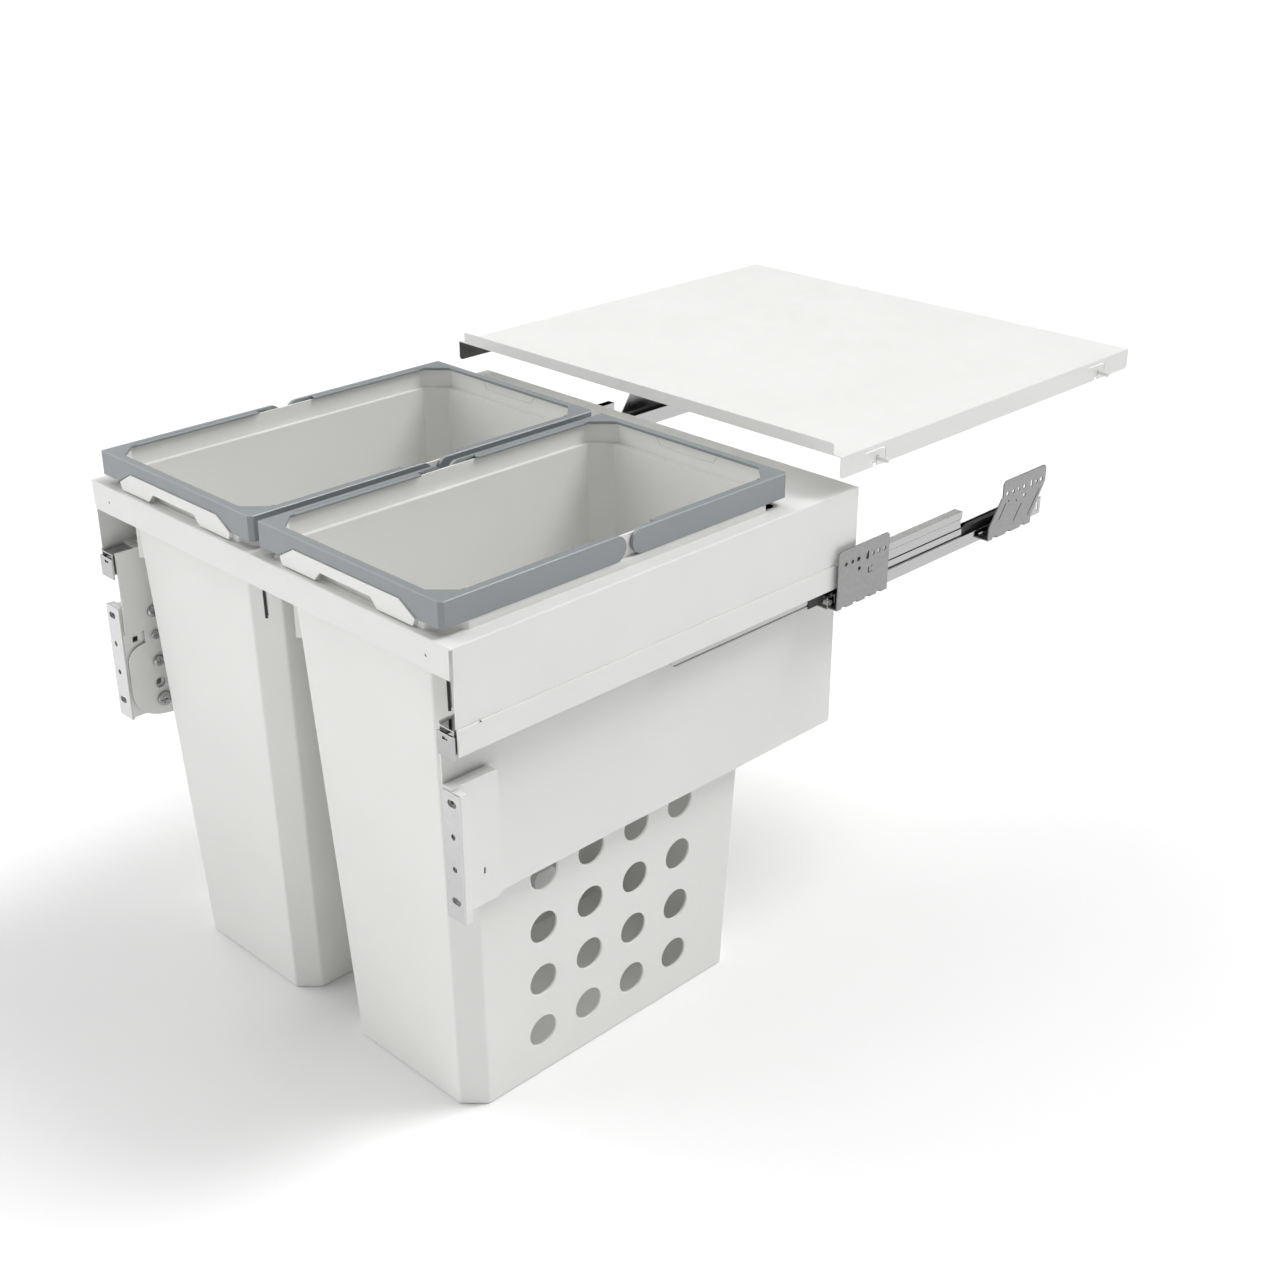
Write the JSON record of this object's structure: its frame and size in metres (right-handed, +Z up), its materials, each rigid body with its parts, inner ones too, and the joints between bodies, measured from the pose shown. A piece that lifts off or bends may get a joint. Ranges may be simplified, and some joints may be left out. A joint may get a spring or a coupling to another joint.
{
  "type": "pull-out waste sorter",
  "caption": "Pull-out waste or laundry sorter for a kitchen base cabinet: tapering vented bins with swing-up handles in a steel drawer frame on runners, under a fixed sheet cover.",
  "frame": {"origin": "midway between the cabinet's sides, at the cabinet's front edge, at the height of the row of fixing screws", "axes": "+X to the right as seen from in front, +Y into the cabinet, +Z up; the drawer is drawn out to its stop towards -Y"},
  "size_m": [0.588, 0.9904, 0.5672],
  "materials": {
    "white_paint": "fine satin powder coat",
    "bin_plastic": "lightly grained moulding",
    "grey_plastic": "lightly grained moulding",
    "galvanized": "galvanized sheet",
    "bright_zinc": "bright zinc-plated",
    "black_plastic": "smooth moulding",
    "white_plastic": "smooth moulding"
  },
  "bodies": {
    "cabinet": {"lid": "white_paint", "cabinet_rail_left": "bright_zinc", "cabinet_rail_right": "bright_zinc", "cabinet_plate_front_left": "galvanized", "cabinet_plate_front_right": "galvanized", "cabinet_plate_rear_left": "galvanized", "cabinet_plate_rear_right": "galvanized", "damper_left": "black_plastic", "damper_right": "black_plastic"},
    "drawer": {"frame_top": "white_paint", "side_apron_left": "white_paint", "side_apron_right": "white_paint", "front_bracket_left": "white_paint", "front_bracket_right": "white_paint", "bracket_insert_left": "galvanized", "bracket_insert_right": "galvanized", "drawer_rail_left": "bright_zinc", "drawer_rail_right": "bright_zinc", "rail_end_clip_left": "bright_zinc", "rail_end_clip_right": "bright_zinc"},
    "middle_left": {"middle_rail_left": "bright_zinc", "middle_guide_left": "black_plastic"},
    "roller_left": {"support_roller_left": "white_plastic"},
    "bin_left": {"bin_left": "bin_plastic"},
    "handle_front_left": {"handle_front_left": "grey_plastic"},
    "handle_rear_left": {"handle_rear_left": "grey_plastic"},
    "lid_pin_front_left": {"lid_pin_front_left": "white_plastic"},
    "lid_pin_rear_left": {"lid_pin_rear_left": "white_plastic"},
    "knob_upper_left": {"knob_upper_left": "bright_zinc"},
    "knob_lower_left": {"knob_lower_left": "bright_zinc"},
    "height_screw_left": {"height_screw_left": "bright_zinc"},
    "tilt_cam_left": {"tilt_cam_left": "bright_zinc"},
    "middle_right": {"middle_rail_right": "bright_zinc", "middle_guide_right": "black_plastic"},
    "roller_right": {"support_roller_right": "white_plastic"},
    "bin_right": {"bin_right": "bin_plastic"},
    "handle_front_right": {"handle_front_right": "grey_plastic"},
    "handle_rear_right": {"handle_rear_right": "grey_plastic"},
    "lid_pin_front_right": {"lid_pin_front_right": "white_plastic"},
    "lid_pin_rear_right": {"lid_pin_rear_right": "white_plastic"},
    "knob_upper_right": {"knob_upper_right": "bright_zinc"},
    "knob_lower_right": {"knob_lower_right": "bright_zinc"},
    "height_screw_right": {"height_screw_right": "bright_zinc"},
    "tilt_cam_right": {"tilt_cam_right": "bright_zinc"}
  },
  "joints": [
    {"name": "drawer_slide", "type": "slide", "parent": "cabinet", "child": "drawer", "axis": [0, -1, 0], "range_m": [-0.4735, 0]},
    {"name": "middle_left_slide", "type": "slide", "parent": "cabinet", "child": "middle_left", "axis": [0, -1, 0], "range_m": [-0.2368, 0]},
    {"name": "roller_left_turn", "type": "hinge", "parent": "cabinet", "child": "roller_left", "pos_m": [-0.263, 0.0095, -0.0426], "axis": [1, 0, 0], "continuous": true},
    {"name": "bin_left_lift", "type": "slide", "parent": "drawer", "child": "bin_left", "axis": [0, 0, 1], "range_m": [0, 0.5]},
    {"name": "handle_front_left_swing", "type": "hinge", "parent": "bin_left", "child": "handle_front_left", "pos_m": [-0.1317, -0.2745, 0.09465], "axis": [-1, 0, 0], "range_deg": [0, 90]},
    {"name": "handle_rear_left_swing", "type": "hinge", "parent": "bin_left", "child": "handle_rear_left", "pos_m": [-0.1317, -0.2425, 0.09465], "axis": [1, 0, 0], "range_deg": [0, 90]},
    {"name": "lid_pin_front_left_push", "type": "slide", "parent": "cabinet", "child": "lid_pin_front_left", "axis": [1, 0, 0], "range_m": [0, 0.0132], "stiffness_N_per_m": 600, "springref_m": -0.003},
    {"name": "lid_pin_rear_left_push", "type": "slide", "parent": "cabinet", "child": "lid_pin_rear_left", "axis": [1, 0, 0], "range_m": [0, 0.0132], "stiffness_N_per_m": 600, "springref_m": -0.003},
    {"name": "knob_upper_left_turn", "type": "hinge", "parent": "drawer", "child": "knob_upper_left", "pos_m": [-0.25, -0.441, -0.0715], "axis": [1, 0, 0], "range_deg": [-360, 360]},
    {"name": "knob_lower_left_turn", "type": "hinge", "parent": "drawer", "child": "knob_lower_left", "pos_m": [-0.25, -0.441, -0.1275], "axis": [1, 0, 0], "range_deg": [-360, 360]},
    {"name": "height_screw_left_turn", "type": "hinge", "parent": "drawer", "child": "height_screw_left", "pos_m": [-0.25, -0.441, -0.098], "axis": [1, 0, 0], "range_deg": [-360, 360]},
    {"name": "tilt_cam_left_turn", "type": "hinge", "parent": "drawer", "child": "tilt_cam_left", "pos_m": [-0.25, -0.441, -0.1726], "axis": [1, 0, 0], "range_deg": [-90, 90]},
    {"name": "middle_right_slide", "type": "slide", "parent": "cabinet", "child": "middle_right", "axis": [0, -1, 0], "range_m": [-0.2368, 0]},
    {"name": "roller_right_turn", "type": "hinge", "parent": "cabinet", "child": "roller_right", "pos_m": [0.263, 0.0095, -0.0426], "axis": [1, 0, 0], "continuous": true},
    {"name": "bin_right_lift", "type": "slide", "parent": "drawer", "child": "bin_right", "axis": [0, 0, 1], "range_m": [0, 0.5]},
    {"name": "handle_front_right_swing", "type": "hinge", "parent": "bin_right", "child": "handle_front_right", "pos_m": [0.1317, -0.2745, 0.09465], "axis": [-1, 0, 0], "range_deg": [0, 90]},
    {"name": "handle_rear_right_swing", "type": "hinge", "parent": "bin_right", "child": "handle_rear_right", "pos_m": [0.1317, -0.2425, 0.09465], "axis": [1, 0, 0], "range_deg": [0, 90]},
    {"name": "lid_pin_front_right_push", "type": "slide", "parent": "cabinet", "child": "lid_pin_front_right", "axis": [-1, 0, 0], "range_m": [0, 0.0132], "stiffness_N_per_m": 600, "springref_m": -0.003},
    {"name": "lid_pin_rear_right_push", "type": "slide", "parent": "cabinet", "child": "lid_pin_rear_right", "axis": [-1, 0, 0], "range_m": [0, 0.0132], "stiffness_N_per_m": 600, "springref_m": -0.003},
    {"name": "knob_upper_right_turn", "type": "hinge", "parent": "drawer", "child": "knob_upper_right", "pos_m": [0.25, -0.441, -0.0715], "axis": [1, 0, 0], "range_deg": [-360, 360]},
    {"name": "knob_lower_right_turn", "type": "hinge", "parent": "drawer", "child": "knob_lower_right", "pos_m": [0.25, -0.441, -0.1275], "axis": [1, 0, 0], "range_deg": [-360, 360]},
    {"name": "height_screw_right_turn", "type": "hinge", "parent": "drawer", "child": "height_screw_right", "pos_m": [0.25, -0.441, -0.098], "axis": [1, 0, 0], "range_deg": [-360, 360]},
    {"name": "tilt_cam_right_turn", "type": "hinge", "parent": "drawer", "child": "tilt_cam_right", "pos_m": [0.25, -0.441, -0.1726], "axis": [1, 0, 0], "range_deg": [-90, 90]}
  ],
  "couplings": [
    {"joint": "middle_left_slide", "follows": "drawer_slide", "ratio": 0.5},
    {"joint": "middle_right_slide", "follows": "drawer_slide", "ratio": 0.5}
  ]
}
